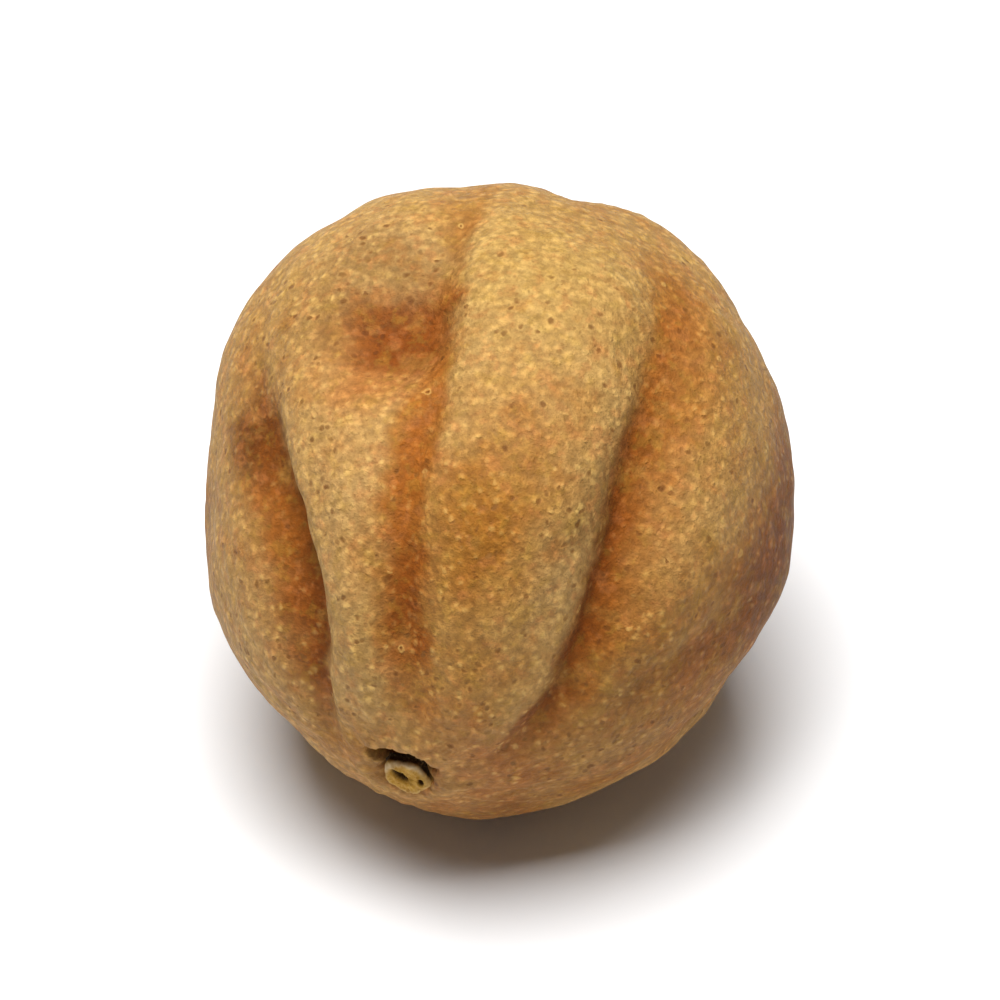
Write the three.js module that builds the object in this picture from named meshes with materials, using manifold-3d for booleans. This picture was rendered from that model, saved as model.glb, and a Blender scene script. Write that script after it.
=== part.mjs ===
// A dried lime: a whole, shrunken, rib-folded citrus fruit with the woody stem
// button still seated in its hollow. Millimetres, +Z up. The fruit rests on a
// small flat spot centred on the origin, its stem end faces -Y and dips a
// little, and its blossom end faces +Y.
import * as THREE from 'three';
import { mergeVertices } from 'three/addons/utils/BufferGeometryUtils.js';
import Module from 'manifold-3d';

// Driving dimensions: millimetres, and degrees where named so
const HALF_LENGTH = 19;       // half the distance from stem end to blossom end
const HALF_WIDTH = 17.4;      // half the distance across the segments
const STEM_TILT_DEG = 17;     // how far the stem end dips below level
const REST_CUT = 0.66;        // how much the rind is pressed flat underneath
const REST_SHIFT = 0.93;      // fruit centre behind the middle of the flat spot
const SKIN_DETAIL = 17;       // subdivision of the icosahedron the rind starts as
const RECESS_DEPTH = 1.3;     // hollow that holds the stem button
const RECESS_RADIUS = 1.95;
const BUTTON_RADIUS = 1.6;    // woody stem button
const BUTTON_HEIGHT = 1.55;
const BUTTON_GAP = 0.3;       // between the button's foot and the hollow's floor
const NIPPLE_HEIGHT = 0.75;   // at the blossom end
const NIPPLE_RADIUS = 2.2;

// Folds run from pole to pole. Each starts with the sharpness of its left and
// right flanks. Then each row holds the angle from the stem pole and the
// longitude (0 is the upper front, positive to the right, both in degrees), the
// depth, and the widths of the left and right flanks. A negative depth is a
// raised rib.
const FOLDS = [
  // upper left: steep right wall under the narrow rib, wide left floor
  [2.3, 1.7, [
    [11, -74, 0, 1.6, 0.8], [16, -60, 0.55, 1.7, 0.8], [22, -45, 1, 2, 0.85],
    [30, -36, 1.45, 2.4, 0.95], [39, -33.8, 1.75, 2.9, 1], [48, -35.2, 1.85, 3.1, 1.05],
    [57, -37.6, 1.8, 3.1, 1.1], [66, -41, 1.55, 3, 1.2], [75, -44.2, 1.1, 2.7, 1.4],
    [84, -48, 0.55, 2.4, 1.6], [96, -52, 0.25, 2.2, 1.8], [110, -57, 0, 2, 2],
  ]],
  // narrow shallow fold below the big hollow
  [1.7, 1.7, [
    [12, 10, 0, 1.1, 1.1], [20, 5, 0.35, 1.3, 1.4], [30, 1, 0.8, 1.6, 1.7],
    [40, -2.5, 1, 1.7, 1.8], [52, -4.5, 0.9, 1.6, 1.6], [64, -6, 0.75, 1.5, 1.3],
    [76, -5.2, 0.8, 1.7, 1.2], [88, -5, 0.6, 2, 1.2], [104, -9.5, 0.45, 2, 1.4],
    [124, -19, 0.35, 2, 1.8], [142, -28, 0.3, 2, 2], [158, -30, 0, 2, 2],
  ]],
  // long fold on the right: steep left wall under the broad lobe
  [1.7, 2.1, [
    [13, 70, 0, 0.9, 1.8], [20, 65.5, 0.4, 1, 2], [27, 62, 0.9, 1.15, 2.3],
    [35, 57.2, 1.3, 1.3, 2.6], [45, 51.6, 1.6, 1.5, 2.8], [56, 46, 1.75, 1.6, 3.1],
    [67, 41.6, 1.7, 1.7, 3.3], [79, 38.7, 1.5, 1.75, 3.4], [93, 37.2, 1.2, 1.8, 3.2],
    [109, 34.8, 0.85, 2, 2.9], [127, 32, 0.5, 2.2, 2.6], [148, 28, 0, 2.2, 2.6],
  ]],
  // soft crease low on the right
  [1.8, 1.8, [
    [20, 90, 0, 1.6, 1.6], [32, 79, 0.3, 1.9, 2.2], [44, 75, 0.4, 2.1, 2.4],
    [60, 77, 0.4, 2.2, 2.6], [76, 82, 0.3, 2.4, 2.6], [92, 84, 0, 2.2, 2.4],
  ]],
  // right flank, just round the corner
  [2, 1.8, [
    [42, 118, 0, 2, 2], [56, 114, 0.5, 2.8, 1.9], [78, 112, 1.15, 3, 1.7],
    [100, 110, 1.15, 2.9, 1.9], [122, 106, 0.7, 2.6, 2], [148, 98, 0, 2.2, 2.2],
  ]],
  // under the right side
  [1.8, 1.8, [
    [36, 152, 0, 2, 2], [48, 147, 0.35, 2, 2.2], [62, 144, 0.6, 2, 2],
    [82, 142, 0.75, 2, 2.2], [108, 146, 1.15, 2, 2.8], [132, 152, 0.8, 2, 2.4],
    [158, 160, 0, 2, 2],
  ]],
  // behind, below
  [1.8, 1.7, [
    [98, 186, 0, 2, 2], [112, 184, 0.7, 2.2, 2], [128, 181, 0.95, 2.4, 1.8],
    [146, 176, 0.5, 2, 1.8], [164, 170, 0, 2, 2],
  ]],
  // under the left side
  [1.8, 1.8, [
    [26, -150, 0, 2, 2], [40, -149, 0.55, 2.2, 2], [58, -148, 0.75, 2.2, 1.8],
    [84, -147, 0.8, 2.4, 2], [110, -149, 1.05, 2.6, 2.2], [134, -152, 0.7, 2.2, 2.2],
    [158, -158, 0, 2, 2],
  ]],
  // left flank, low
  [1.7, 2.1, [
    [20, -122, 0, 2, 2], [34, -118, 0.7, 1.8, 2.6], [52, -114, 1.3, 1.7, 3.2],
    [74, -112, 1.55, 1.7, 3.4], [97, -113, 1.3, 1.8, 3.2], [120, -117, 0.7, 2, 2.8],
    [146, -122, 0, 2, 2],
  ]],
  // left flank, high
  [1.8, 1.8, [
    [78, -92, 0, 2, 2], [94, -89, 0.35, 2.4, 2], [112, -86, 0.75, 2.4, 2.2],
    [130, -82, 0.8, 2.2, 2.4], [156, -80, 0, 2, 2],
  ]],
  // behind, above: the folds that meet at the blossom end
  [1.8, 1.7, [
    [140, 6, 0, 2.4, 2.4], [150, 4, 0.5, 2.4, 2], [159, 1, 0.45, 2, 1.8],
    [170, -4, 0, 1.6, 1.6],
  ]],
  [1.7, 2, [
    [124, 78, 0, 2, 2], [134, 72, 0.55, 2, 2.6], [146, 66, 0.85, 2, 2.6],
    [158, 62, 0.5, 1.8, 2], [169, 60, 0, 1.6, 1.6],
  ]],
  [1.9, 1.7, [
    [134, -58, 0, 2, 2], [144, -54, 0.6, 2.4, 1.8], [154, -50, 0.55, 2, 1.6],
    [168, -48, 0, 1.6, 1.6],
  ]],
  // raised ribs: the narrow one, the broad one and the one beyond the right fold
  [1.8, 1.8, [
    [14, -24, 0, 1.4, 1.4], [24, -18, -0.3, 1.4, 1.6], [36, -17, -0.4, 1.6, 1.8],
    [50, -19, -0.4, 1.9, 2], [64, -23, -0.35, 2.2, 2.4], [78, -28, -0.2, 2.6, 2.4],
    [96, -34, 0, 3, 3],
  ]],
  [2.2, 2.2, [
    [16, 34, 0, 2.4, 2.4], [28, 28, -0.45, 3.2, 2.8], [44, 22, -0.7, 4, 3.4],
    [66, 17, -0.75, 5, 4.2], [88, 14, -0.7, 5.2, 4.8], [110, 11, -0.5, 5.4, 5.4],
    [134, 10, 0, 5, 5],
  ]],
  [2, 2, [
    [24, 78, 0, 2.4, 2.4], [44, 62, -0.25, 2.6, 2.4], [66, 57, -0.35, 3, 3],
    [92, 56, -0.35, 4, 3.4], [120, 50, 0, 4, 4],
  ]],
];

// Hollows: angle from the stem pole, longitude, depth, radii to the left, to
// the right, towards the blossom end and towards the stem end, and sharpness.
// A negative depth is a swelling.
const HOLLOWS = [
  [93.5, -16.5, 1.8, 4.6, 2.9, 3.8, 4.1, 3],
  [108, -21, 0.6, 3, 2.4, 2.8, 2.4, 2],
  [143, -36, -0.45, 5, 5, 4, 5, 2],
  [117, -15, 0.35, 1.4, 1.2, 3.6, 3.6, 2],
  [118, 132, 1.9, 4.6, 5.2, 4.4, 5, 2.2],
  [114, -112, 1.1, 4.2, 4.4, 3.8, 5.2, 2],
  [146, -140, 0.9, 3.6, 3.6, 3.4, 3.8, 2],
  [118, -62, -1.85, 8.5, 8.5, 8, 8.5, 2],
  [68, -78, 0.12, 5.5, 5, 7, 8, 2],
  [27, 156, -0.35, 3.4, 3.4, 4.2, 3.4, 2],
  [27, -98, 0.18, 4, 4, 5, 4, 2],
  [25, 112, 0.45, 4.2, 4.2, 4.6, 4.2, 2],
];

// Slow waves that keep the rind from being regular: direction, wave number per
// millimetre, phase and height.
const WAVES = [
  [0.31, 0.82, 0.48, 0.19, 1.3, 0.16],
  [-0.66, 0.21, 0.72, 0.24, 4.1, 0.16],
  [0.74, -0.52, 0.42, 0.33, 2.6, 0.13],
  [0.18, 0.55, -0.82, 0.45, 0.7, 0.1],
  [-0.45, -0.61, -0.65, 0.58, 5.2, 0.07],
];

const RAD = Math.PI / 180;
const ROUNDING = 0.06;        // softens the bottom of every fold

// Smooth curve through one column of a table whose first column increases.
function along(table, phi, column) {
  const n = table.length;
  let i = 0;
  while (i < n - 2 && phi > table[i + 1][0]) i += 1;
  const slope = (j) => {
    const lo = Math.max(j - 1, 0);
    const hi = Math.min(j + 1, n - 1);
    return (table[hi][column] - table[lo][column]) / (table[hi][0] - table[lo][0]);
  };
  const h = table[i + 1][0] - table[i][0];
  const t = Math.min(Math.max((phi - table[i][0]) / h, 0), 1);
  return (2 * t ** 3 - 3 * t ** 2 + 1) * table[i][column]
    + (t ** 3 - 2 * t ** 2 + t) * h * slope(i)
    + (-2 * t ** 3 + 3 * t ** 2) * table[i + 1][column]
    + (t ** 3 - t ** 2) * h * slope(i + 1);
}

function wrap(deg) {
  return ((((deg + 180) % 360) + 360) % 360) - 180;
}

// Distance from the fruit's centre to the rind, towards a unit direction in
// the fruit's own frame (z to the stem end, y to the upper front, x right).
function rindRadius(x, y, z) {
  const across = Math.hypot(x, y);
  const phi = Math.atan2(across, z) / RAD;
  const lambda = Math.atan2(x, y) / RAD;
  const base = 1 / Math.hypot(across / HALF_WIDTH, z / HALF_LENGTH);
  let r = base;
  for (const [sharpLeft, sharpRight, rows] of FOLDS) {
    if (phi < rows[0][0] || phi > rows[rows.length - 1][0]) continue;
    const s = wrap(lambda - along(rows, phi, 1)) * RAD * base * across;
    const q = Math.abs(s) / along(rows, phi, s < 0 ? 3 : 4);
    const power = (s < 0 ? sharpLeft : sharpRight) / 2;
    r -= along(rows, phi, 2) * Math.exp(-((q * q + ROUNDING) ** power - ROUNDING ** power));
  }
  for (const [phi0, lambda0, depth, left, right, far, near, sharp] of HOLLOWS) {
    const u = wrap(lambda - lambda0) * RAD * base * Math.sin(phi0 * RAD);
    const v = (phi - phi0) * RAD * base;
    const q = Math.hypot(u / (u < 0 ? left : right), v / (v > 0 ? far : near));
    r -= depth * Math.exp(-(q ** sharp));
  }
  for (const [ax, ay, az, k, shift, height] of WAVES) {
    r += height * Math.sin((ax * x + ay * y + az * z) * base * k + shift);
  }
  // hollow for the stem button, and the nipple at the blossom end
  const fromStem = phi * RAD * HALF_WIDTH;
  const fromTip = (180 - phi) * RAD * HALF_WIDTH;
  r -= RECESS_DEPTH * Math.exp(-((fromStem / RECESS_RADIUS) ** 4));
  r += NIPPLE_HEIGHT * Math.exp(-((fromTip / NIPPLE_RADIUS) ** 2)) - 0.45 * Math.exp(-((fromTip / 0.8) ** 2));
  return r;
}

const wasm = await Module();
wasm.setup();

function toManifold(geometry) {
  const bare = geometry.clone();
  bare.deleteAttribute('normal');
  bare.deleteAttribute('uv');
  const merged = mergeVertices(bare, 1e-5);
  return new wasm.Manifold(new wasm.Mesh({
    numProp: 3,
    vertProperties: Float32Array.from(merged.attributes.position.array),
    triVerts: Uint32Array.from(merged.index.array),
  }));
}

function fromManifold(solid) {
  const mesh = solid.getMesh();
  const geometry = new THREE.BufferGeometry();
  geometry.setAttribute('position', new THREE.BufferAttribute(Float32Array.from(mesh.vertProperties), 3));
  geometry.setIndex(new THREE.BufferAttribute(Uint32Array.from(mesh.triVerts), 1));
  geometry.computeVertexNormals();
  return geometry;
}

// The fruit's own axes in the part's frame.
const tilt = STEM_TILT_DEG * RAD;
const stemAxis = new THREE.Vector3(0, -Math.cos(tilt), -Math.sin(tilt));
const rightAxis = new THREE.Vector3(1, 0, 0);
const frontAxis = new THREE.Vector3().crossVectors(stemAxis, rightAxis);
const lowest = Math.hypot(HALF_WIDTH * Math.cos(tilt), HALF_LENGTH * Math.sin(tilt));
const centre = new THREE.Vector3(0, REST_SHIFT, lowest - REST_CUT);
const placeFruit = new THREE.Matrix4().makeBasis(rightAxis, frontAxis, stemAxis).setPosition(centre);

// Rind: a subdivided icosahedron pulled onto the folded surface, with its
// points drawn together around the stem hollow, then pressed flat where it
// rests.
const rind = new THREE.IcosahedronGeometry(1, SKIN_DETAIL);
const p = rind.attributes.position;
const v = new THREE.Vector3();
for (let i = 0; i < p.count; i += 1) {
  v.fromBufferAttribute(p, i).normalize();
  const across = Math.hypot(v.x, v.y);
  const phi = Math.atan2(across, v.z);
  const drawn = phi * (1 - 0.5 * Math.exp(-((phi / 0.5) ** 2)));
  if (across > 1e-9) v.set((v.x / across) * Math.sin(drawn), (v.y / across) * Math.sin(drawn), Math.cos(drawn));
  v.multiplyScalar(rindRadius(v.x, v.y, v.z)).applyMatrix4(placeFruit);
  p.setXYZ(i, v.x, v.y, v.z);
}
const ground = new THREE.BoxGeometry(60, 60, 20);
ground.translate(0, 0, -10);
const rindGeometry = fromManifold(toManifold(rind).subtract(toManifold(ground)));

const rindMesh = new THREE.Mesh(rindGeometry, new THREE.MeshStandardMaterial({
  color: 0xb98748, roughness: 0.62, metalness: 0,
}));
rindMesh.name = 'fruit_rind';

// Stem button: a squat woody knob with a shallow scar in its face, made a
// little five-sided, as a calyx is, and seated in the hollow.
const profile = [
  [0, 0], [0.5, 0], [0.8, 0.09], [0.93, 0.3], [1, 0.55], [0.95, 0.8],
  [0.76, 0.96], [0.5, 1], [0.27, 0.88], [0, 0.78],
].map(([r, h]) => new THREE.Vector2(r * BUTTON_RADIUS, h * BUTTON_HEIGHT));
const button = new THREE.LatheGeometry(profile, 30);
button.rotateX(Math.PI / 2);  // the lathe's axis becomes the stem axis
const hollowFloor = rindRadius(0, 0, 1);
const b = button.attributes.position;
for (let i = 0; i < b.count; i += 1) {
  v.fromBufferAttribute(b, i);
  const turn = Math.atan2(v.y, v.x);
  const grow = 1 + 0.05 * Math.cos(5 * turn + 0.6) + 0.03 * Math.cos(2 * turn + 2.1);
  v.set(v.x * grow, v.y * grow, v.z + hollowFloor + BUTTON_GAP).applyMatrix4(placeFruit);
  b.setXYZ(i, v.x, v.y, v.z);
}
button.deleteAttribute('normal');
button.deleteAttribute('uv');
const buttonGeometry = mergeVertices(button, 1e-4);
buttonGeometry.computeVertexNormals();
const buttonMesh = new THREE.Mesh(buttonGeometry, new THREE.MeshStandardMaterial({
  color: 0xc6a35a, roughness: 0.8, metalness: 0,
}));
buttonMesh.name = 'stem_button';

const lime = new THREE.Group();
lime.name = 'dried_lime';
lime.add(rindMesh, buttonMesh);

export default lime;
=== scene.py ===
"""A dried lime on a plain pale floor: the rind as a finely folded skin and the woody stem button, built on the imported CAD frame.

Lengths in the tables are millimetres and angles are degrees; everything is turned into metres when a mesh is made.
"""

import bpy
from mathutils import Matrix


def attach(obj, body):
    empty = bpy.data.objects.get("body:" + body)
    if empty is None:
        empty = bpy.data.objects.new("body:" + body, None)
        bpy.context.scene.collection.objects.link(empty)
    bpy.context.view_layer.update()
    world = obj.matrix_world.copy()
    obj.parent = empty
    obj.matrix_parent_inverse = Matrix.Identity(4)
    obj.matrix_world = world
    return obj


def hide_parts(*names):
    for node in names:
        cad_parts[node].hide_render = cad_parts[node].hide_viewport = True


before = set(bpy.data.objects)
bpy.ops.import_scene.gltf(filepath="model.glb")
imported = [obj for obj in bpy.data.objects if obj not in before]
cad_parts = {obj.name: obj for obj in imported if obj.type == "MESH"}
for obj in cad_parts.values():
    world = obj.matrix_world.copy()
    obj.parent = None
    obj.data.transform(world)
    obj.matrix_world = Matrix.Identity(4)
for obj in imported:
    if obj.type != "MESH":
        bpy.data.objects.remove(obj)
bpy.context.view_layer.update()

import math

import bpy
import numpy as np
from mathutils import Vector

RAD = math.pi / 180
MM = 0.001

# ---------------------------------------------------------------- the fruit's shape, the same as the CAD solid's
HALF_LENGTH = 19
HALF_WIDTH = 17.4
STEM_TILT = 17 * RAD
REST_CUT = 0.66
REST_SHIFT = 0.93
RECESS_DEPTH = 1.3
RECESS_RADIUS = 1.95
NIPPLE_HEIGHT = 0.75
NIPPLE_RADIUS = 2.2
ROUNDING = 0.06

# sharpness of the left and right flanks, then rows of angle from the stem pole, longitude, depth, left width, right width
FOLDS = [
    # upper left: steep right wall under the narrow rib, wide left floor
    (2.3, 1.7, [[11, -74, 0, 1.6, 0.8], [16, -60, 0.55, 1.7, 0.8], [22, -45, 1, 2, 0.85], [30, -36, 1.45, 2.4, 0.95], [39, -33.8, 1.75, 2.9, 1], [48, -35.2, 1.85, 3.1, 1.05], [57, -37.6, 1.8, 3.1, 1.1], [66, -41, 1.55, 3, 1.2], [75, -44.2, 1.1, 2.7, 1.4], [84, -48, 0.55, 2.4, 1.6], [96, -52, 0.25, 2.2, 1.8], [110, -57, 0, 2, 2]]),
    # narrow shallow fold below the big hollow
    (1.7, 1.7, [[12, 10, 0, 1.1, 1.1], [20, 5, 0.35, 1.3, 1.4], [30, 1, 0.8, 1.6, 1.7], [40, -2.5, 1, 1.7, 1.8], [52, -4.5, 0.9, 1.6, 1.6], [64, -6, 0.75, 1.5, 1.3], [76, -5.2, 0.8, 1.7, 1.2], [88, -5, 0.6, 2, 1.2], [104, -9.5, 0.45, 2, 1.4], [124, -19, 0.35, 2, 1.8], [142, -28, 0.3, 2, 2], [158, -30, 0, 2, 2]]),
    # long fold on the right: steep left wall under the broad lobe
    (1.7, 2.1, [[13, 70, 0, 0.9, 1.8], [20, 65.5, 0.4, 1, 2], [27, 62, 0.9, 1.15, 2.3], [35, 57.2, 1.3, 1.3, 2.6], [45, 51.6, 1.6, 1.5, 2.8], [56, 46, 1.75, 1.6, 3.1], [67, 41.6, 1.7, 1.7, 3.3], [79, 38.7, 1.5, 1.75, 3.4], [93, 37.2, 1.2, 1.8, 3.2], [109, 34.8, 0.85, 2, 2.9], [127, 32, 0.5, 2.2, 2.6], [148, 28, 0, 2.2, 2.6]]),
    # soft crease low on the right
    (1.8, 1.8, [[20, 90, 0, 1.6, 1.6], [32, 79, 0.3, 1.9, 2.2], [44, 75, 0.4, 2.1, 2.4], [60, 77, 0.4, 2.2, 2.6], [76, 82, 0.3, 2.4, 2.6], [92, 84, 0, 2.2, 2.4]]),
    # right flank, just round the corner
    (2, 1.8, [[42, 118, 0, 2, 2], [56, 114, 0.5, 2.8, 1.9], [78, 112, 1.15, 3, 1.7], [100, 110, 1.15, 2.9, 1.9], [122, 106, 0.7, 2.6, 2], [148, 98, 0, 2.2, 2.2]]),
    # under the right side
    (1.8, 1.8, [[36, 152, 0, 2, 2], [48, 147, 0.35, 2, 2.2], [62, 144, 0.6, 2, 2], [82, 142, 0.75, 2, 2.2], [108, 146, 1.15, 2, 2.8], [132, 152, 0.8, 2, 2.4], [158, 160, 0, 2, 2]]),
    # behind, below
    (1.8, 1.7, [[98, 186, 0, 2, 2], [112, 184, 0.7, 2.2, 2], [128, 181, 0.95, 2.4, 1.8], [146, 176, 0.5, 2, 1.8], [164, 170, 0, 2, 2]]),
    # under the left side
    (1.8, 1.8, [[26, -150, 0, 2, 2], [40, -149, 0.55, 2.2, 2], [58, -148, 0.75, 2.2, 1.8], [84, -147, 0.8, 2.4, 2], [110, -149, 1.05, 2.6, 2.2], [134, -152, 0.7, 2.2, 2.2], [158, -158, 0, 2, 2]]),
    # left flank, low
    (1.7, 2.1, [[20, -122, 0, 2, 2], [34, -118, 0.7, 1.8, 2.6], [52, -114, 1.3, 1.7, 3.2], [74, -112, 1.55, 1.7, 3.4], [97, -113, 1.3, 1.8, 3.2], [120, -117, 0.7, 2, 2.8], [146, -122, 0, 2, 2]]),
    # left flank, high
    (1.8, 1.8, [[78, -92, 0, 2, 2], [94, -89, 0.35, 2.4, 2], [112, -86, 0.75, 2.4, 2.2], [130, -82, 0.8, 2.2, 2.4], [156, -80, 0, 2, 2]]),
    # behind, above: the folds that meet at the blossom end
    (1.8, 1.7, [[140, 6, 0, 2.4, 2.4], [150, 4, 0.5, 2.4, 2], [159, 1, 0.45, 2, 1.8], [170, -4, 0, 1.6, 1.6]]),
    (1.7, 2, [[124, 78, 0, 2, 2], [134, 72, 0.55, 2, 2.6], [146, 66, 0.85, 2, 2.6], [158, 62, 0.5, 1.8, 2], [169, 60, 0, 1.6, 1.6]]),
    (1.9, 1.7, [[134, -58, 0, 2, 2], [144, -54, 0.6, 2.4, 1.8], [154, -50, 0.55, 2, 1.6], [168, -48, 0, 1.6, 1.6]]),
    # raised ribs: the narrow one, the broad one and the one beyond the right fold
    (1.8, 1.8, [[14, -24, 0, 1.4, 1.4], [24, -18, -0.3, 1.4, 1.6], [36, -17, -0.4, 1.6, 1.8], [50, -19, -0.4, 1.9, 2], [64, -23, -0.35, 2.2, 2.4], [78, -28, -0.2, 2.6, 2.4], [96, -34, 0, 3, 3]]),
    (2.2, 2.2, [[16, 34, 0, 2.4, 2.4], [28, 28, -0.45, 3.2, 2.8], [44, 22, -0.7, 4, 3.4], [66, 17, -0.75, 5, 4.2], [88, 14, -0.7, 5.2, 4.8], [110, 11, -0.5, 5.4, 5.4], [134, 10, 0, 5, 5]]),
    (2, 2, [[24, 78, 0, 2.4, 2.4], [44, 62, -0.25, 2.6, 2.4], [66, 57, -0.35, 3, 3], [92, 56, -0.35, 4, 3.4], [120, 50, 0, 4, 4]]),
]
# angle, longitude, depth, radii left, right, towards the blossom end, towards the stem end, sharpness
HOLLOWS = [
    [93.5, -16.5, 1.8, 4.6, 2.9, 3.8, 4.1, 3],
    [108, -21, 0.6, 3, 2.4, 2.8, 2.4, 2],
    [143, -36, -0.45, 5, 5, 4, 5, 2],
    [117, -15, 0.35, 1.4, 1.2, 3.6, 3.6, 2],
    [118, 132, 1.9, 4.6, 5.2, 4.4, 5, 2.2],
    [114, -112, 1.1, 4.2, 4.4, 3.8, 5.2, 2],
    [146, -140, 0.9, 3.6, 3.6, 3.4, 3.8, 2],
    [118, -62, -1.85, 8.5, 8.5, 8, 8.5, 2],
    [68, -78, 0.12, 5.5, 5, 7, 8, 2],
    [27, 156, -0.35, 3.4, 3.4, 4.2, 3.4, 2],
    [27, -98, 0.18, 4, 4, 5, 4, 2],
    [25, 112, 0.45, 4.2, 4.2, 4.6, 4.2, 2],
]
# direction, wave number, phase, height
WAVES = [
    [0.31, 0.82, 0.48, 0.19, 1.3, 0.16],
    [-0.66, 0.21, 0.72, 0.24, 4.1, 0.16],
    [0.74, -0.52, 0.42, 0.33, 2.6, 0.13],
    [0.18, 0.55, -0.82, 0.45, 0.7, 0.1],
    [-0.45, -0.61, -0.65, 0.58, 5.2, 0.07],
]

STEM_AXIS = np.array([0.0, -math.cos(STEM_TILT), -math.sin(STEM_TILT)])
RIGHT_AXIS = np.array([1.0, 0.0, 0.0])
FRONT_AXIS = np.cross(STEM_AXIS, RIGHT_AXIS)
AXES = np.array([RIGHT_AXIS, FRONT_AXIS, STEM_AXIS])  # rows: the fruit's own x, y and z
CENTRE = np.array([0.0, REST_SHIFT, math.hypot(HALF_WIDTH * math.cos(STEM_TILT), HALF_LENGTH * math.sin(STEM_TILT)) - REST_CUT])


def smooth_columns(rows):
    """Each column of a fold's table as a smooth curve over the angle from the stem pole, at quarter degrees."""
    t = np.array(rows, float)
    x, n = t[:, 0], len(t)
    grid = np.arange(0, 180.01, 0.25)
    out = []
    for c in range(1, 5):
        y = t[:, c]
        m = np.array([(y[min(j + 1, n - 1)] - y[max(j - 1, 0)]) / (x[min(j + 1, n - 1)] - x[max(j - 1, 0)]) for j in range(n)])
        g = np.clip(grid, x[0], x[-1])
        i = np.clip(np.searchsorted(x, g, side="right") - 1, 0, n - 2)
        h = x[i + 1] - x[i]
        s = (g - x[i]) / h
        out.append((2 * s**3 - 3 * s**2 + 1) * y[i] + (s**3 - 2 * s**2 + s) * h * m[i] + (-2 * s**3 + 3 * s**2) * y[i + 1] + (s**3 - s**2) * h * m[i + 1])
    return grid, out, x[0], x[-1]


CURVES = [(f[0], f[1]) + smooth_columns(f[2]) for f in FOLDS]


def wrap(deg):
    return (deg + 180) % 360 - 180


def angles(d):
    """Angle from the stem pole and longitude of unit directions in the fruit's own frame."""
    return np.arctan2(np.hypot(d[:, 0], d[:, 1]), d[:, 2]) / RAD, np.arctan2(d[:, 0], d[:, 1]) / RAD


def fold_depths(d):
    """(n, folds) depth that each fold takes off the rind, in mm, and the signed distance from its line."""
    phi, lam = angles(d)
    across = np.hypot(d[:, 0], d[:, 1])
    base = 1 / np.hypot(across / HALF_WIDTH, d[:, 2] / HALF_LENGTH)
    depths = np.zeros((len(d), len(CURVES)))
    sides = np.full((len(d), len(CURVES)), 99.0)
    for j, (sharp_left, sharp_right, grid, cols, lo, hi) in enumerate(CURVES):
        k = (phi >= lo) & (phi <= hi)
        ph = phi[k]
        s = wrap(lam[k] - np.interp(ph, grid, cols[0])) * RAD * (base * across)[k]
        neg = s < 0
        q = np.abs(s) / np.where(neg, np.interp(ph, grid, cols[2]), np.interp(ph, grid, cols[3]))
        power = np.where(neg, sharp_left, sharp_right) / 2
        depths[k, j] = np.interp(ph, grid, cols[1]) * np.exp(-((q * q + ROUNDING) ** power - ROUNDING**power))
        sides[k, j] = s
    return base, depths, sides


def spot(phi, lam, base, phi0, lam0, left, right, far, near, sharp):
    """1 in the middle of a patch of the rind, falling to 0 around it."""
    u = wrap(lam - lam0) * RAD * base * math.sin(phi0 * RAD)
    v = (phi - phi0) * RAD * base
    return np.exp(-(np.hypot(u / np.where(u < 0, left, right), v / np.where(v > 0, far, near)) ** sharp))


def rind_radius(d):
    phi, lam = angles(d)
    base, depths, _ = fold_depths(d)
    r = base - depths.sum(1)
    for phi0, lam0, depth, left, right, far, near, sharp in HOLLOWS:
        r -= depth * spot(phi, lam, base, phi0, lam0, left, right, far, near, sharp)
    for ax, ay, az, k, shift, height in WAVES:
        r += height * np.sin((d @ np.array([ax, ay, az])) * base * k + shift)
    r -= RECESS_DEPTH * np.exp(-((phi * RAD * HALF_WIDTH / RECESS_RADIUS) ** 4))
    tip = (180 - phi) * RAD * HALF_WIDTH
    return r + NIPPLE_HEIGHT * np.exp(-((tip / NIPPLE_RADIUS) ** 2)) - 0.45 * np.exp(-((tip / 0.8) ** 2))


# ---------------------------------------------------------------- smooth noise, the same every run
_rng = np.random.default_rng(20)
_PERM = _rng.permutation(256)
_GRAD = _rng.normal(size=(256, 3))
_GRAD /= np.linalg.norm(_GRAD, axis=1, keepdims=True)


def noise(p):
    """Gradient noise at points p, about -1 to 1, one bump per unit."""
    i = np.floor(p).astype(np.int64)
    f = p - i
    u = f**3 * (f * (f * 6 - 15) + 10)
    total = np.zeros(len(p))
    for dx in (0, 1):
        for dy in (0, 1):
            for dz in (0, 1):
                h = _PERM[(_PERM[(_PERM[(i[:, 0] + dx) & 255] + i[:, 1] + dy) & 255] + i[:, 2] + dz) & 255]
                w = (u[:, 0] if dx else 1 - u[:, 0]) * (u[:, 1] if dy else 1 - u[:, 1]) * (u[:, 2] if dz else 1 - u[:, 2])
                total += w * ((f - (dx, dy, dz)) * _GRAD[h]).sum(1)
    return total * 1.7


def step(x, lo, hi):
    t = np.clip((x - lo) / (hi - lo), 0, 1)
    return t * t * (3 - 2 * t)


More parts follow.
